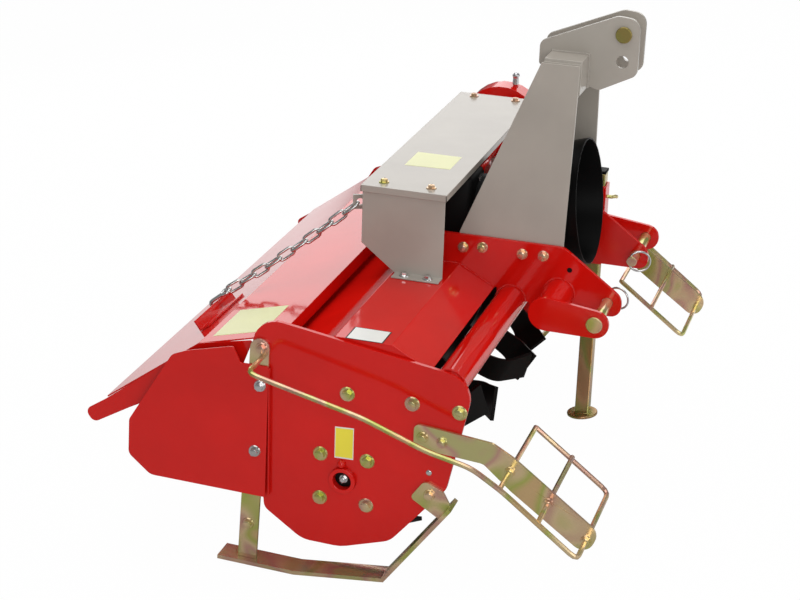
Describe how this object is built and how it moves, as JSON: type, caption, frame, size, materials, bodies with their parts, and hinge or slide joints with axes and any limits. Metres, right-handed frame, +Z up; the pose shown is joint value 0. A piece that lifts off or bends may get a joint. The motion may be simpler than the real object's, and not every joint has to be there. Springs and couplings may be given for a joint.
{
  "type": "rotary tiller",
  "caption": "Three-point-hitch rotary tiller with side gear drive, hinged tailboard on a chain, skids, guard bars, parking leg and a turning rotor with bent blades.",
  "frame": {"origin": "on the floor, below the middle of the bounding box", "axes": "+X to the machine's right along the rotor, +Y forward to the tractor, +Z up; the machine stands parked, nose down 6.2 degrees"},
  "size_m": [1.3844, 1.0014, 0.95],
  "materials": {
    "red_paint": "high gloss",
    "grey_paint": "semi-gloss",
    "black_plastic": "matte",
    "black_steel": "satin",
    "silver_zinc": "zinc plated",
    "yellow_zinc": "yellow zinc plated"
  },
  "bodies": {
    "frame": {"end_plate_right": "red_paint", "end_plate_left": "red_paint", "hood": "red_paint", "front_tube": "red_paint", "hitch_plate_right": "red_paint", "hitch_plate_left": "red_paint", "outer_hitch_plate_right": "red_paint", "outer_hitch_plate_left": "red_paint", "leg_sleeve": "red_paint", "gearbox": "red_paint", "side_gear_case": "red_paint", "drive_tube": "red_paint", "bearing_hub": "red_paint", "side_shield_right": "red_paint", "side_shield_left": "red_paint", "mast_plate_right": "grey_paint", "mast_plate_left": "grey_paint", "mast_head": "grey_paint", "clevis_plate_right": "grey_paint", "clevis_plate_left": "grey_paint", "guard": "grey_paint", "chain_anchor": "grey_paint", "pto_shield": "black_plastic", "hitch_pin_right": "yellow_zinc", "hitch_pin_left": "yellow_zinc", "top_link_pin": "yellow_zinc", "tailboard_hinge_rod": "yellow_zinc", "skid_right": "yellow_zinc", "skid_left": "yellow_zinc", "skid_strap_right": "yellow_zinc", "skid_strap_left": "yellow_zinc", "guard_bar_right": "yellow_zinc", "guard_bar_left": "yellow_zinc"},
    "rotor": {"rotor_tube": "black_steel", "tine_ring_1": "black_steel", "tine_ring_2": "black_steel", "tine_ring_3": "black_steel", "tine_ring_4": "black_steel", "tine_ring_5": "black_steel", "tine_ring_6": "black_steel"},
    "input_shaft": {"pto_shaft": "silver_zinc"},
    "tail": {"tailboard": "red_paint", "tailboard_cheek_right": "red_paint", "tailboard_cheek_left": "red_paint", "chain_bracket": "red_paint"},
    "chain_body": {"chain": "silver_zinc"},
    "leg": {"parking_leg": "yellow_zinc"}
  },
  "joints": [
    {"name": "rotor_spin", "type": "hinge", "parent": "frame", "child": "rotor", "pos_m": [0, 0.02064, 0.20005], "axis": [-1, 0, 0], "continuous": true},
    {"name": "input_spin", "type": "hinge", "parent": "frame", "child": "input_shaft", "pos_m": [0, 0.14532, 0.56069], "axis": [0, 0.9999, 0.014], "continuous": true},
    {"name": "tailboard_lift", "type": "hinge", "parent": "frame", "child": "tail", "pos_m": [0, -0.10224, 0.45783], "axis": [-1, 0, 0], "range_deg": [0, 35]},
    {"name": "chain_swing", "type": "hinge", "parent": "frame", "child": "chain_body", "pos_m": [0.215, -0.04154, 0.62123], "axis": [-0.9015, -0.4302, 0.0467], "range_deg": [0, 35]},
    {"name": "leg_slide", "type": "slide", "parent": "frame", "child": "leg", "axis": [0, 0.108, 0.9942], "range_m": [0, 0.15]}
  ],
  "couplings": [
    {"joint": "input_spin", "follows": "rotor_spin", "ratio": 2.5},
    {"joint": "chain_swing", "follows": "tailboard_lift", "ratio": 1}
  ]
}
